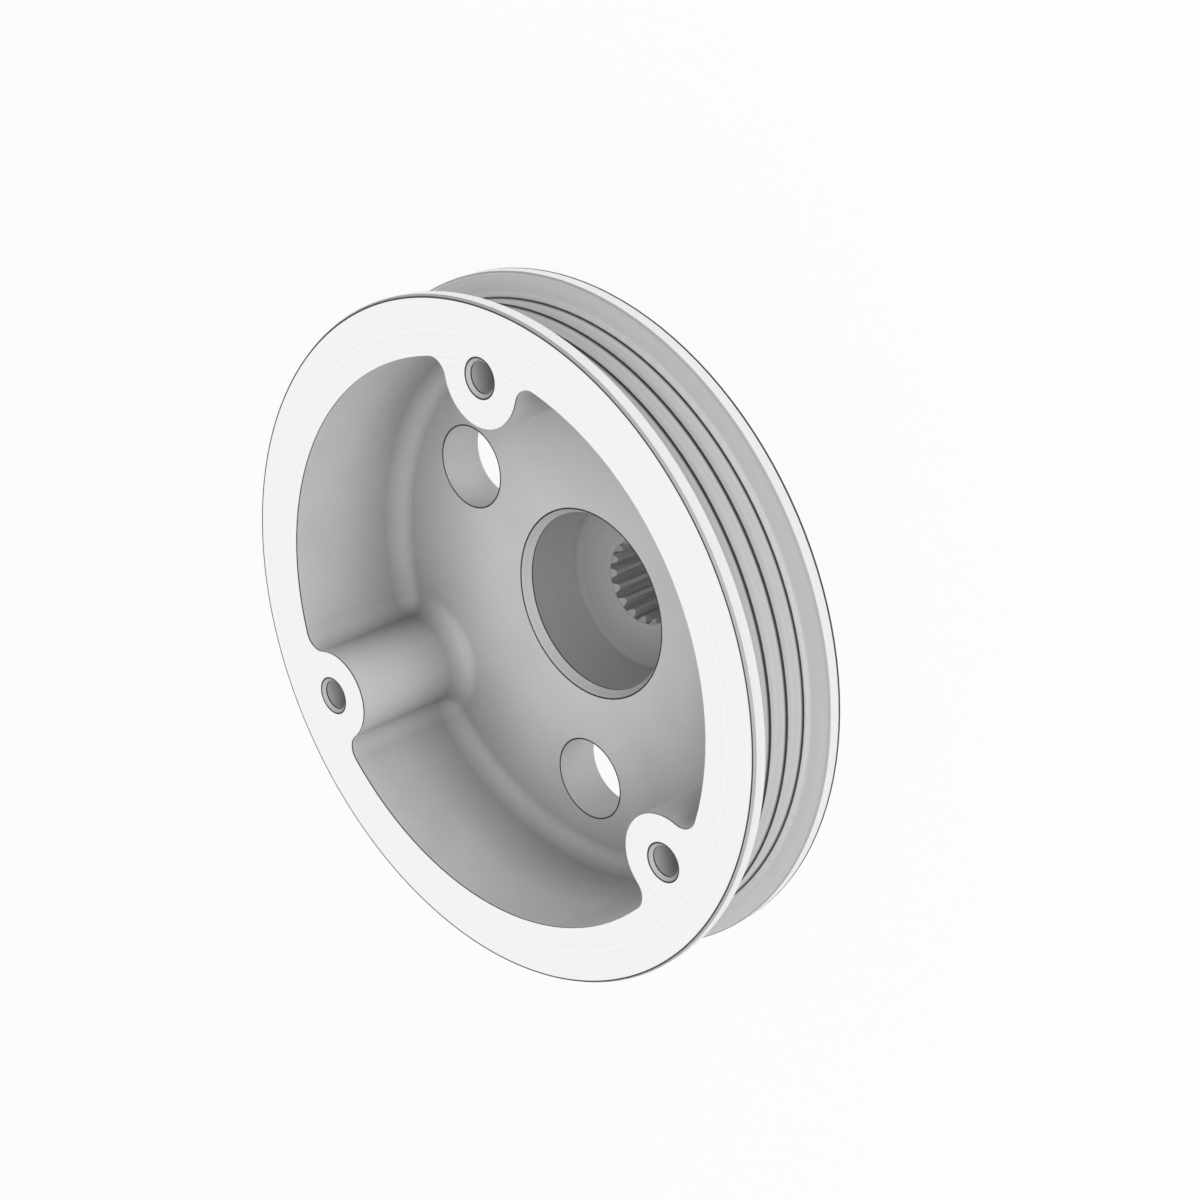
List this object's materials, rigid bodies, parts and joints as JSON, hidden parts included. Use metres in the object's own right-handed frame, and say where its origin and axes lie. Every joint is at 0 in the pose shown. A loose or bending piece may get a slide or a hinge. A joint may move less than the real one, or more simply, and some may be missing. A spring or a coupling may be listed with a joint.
{
  "type": "belt pulley",
  "caption": "Dished belt pulley with a ribbed rim between two flanges, tapped bosses inside the dish and a splined hub.",
  "frame": {"origin": "centre of the hub's rear end face, on which the pulley stands", "axes": "+Z along the axis towards the open front of the dish, +Y through one of the bosses"},
  "size_m": [0.109, 0.109, 0.0491],
  "materials": {
    "cast_aluminium": "satin"
  },
  "bodies": {
    "root": {"pulley_body": "cast_aluminium"}
  },
  "joints": []
}
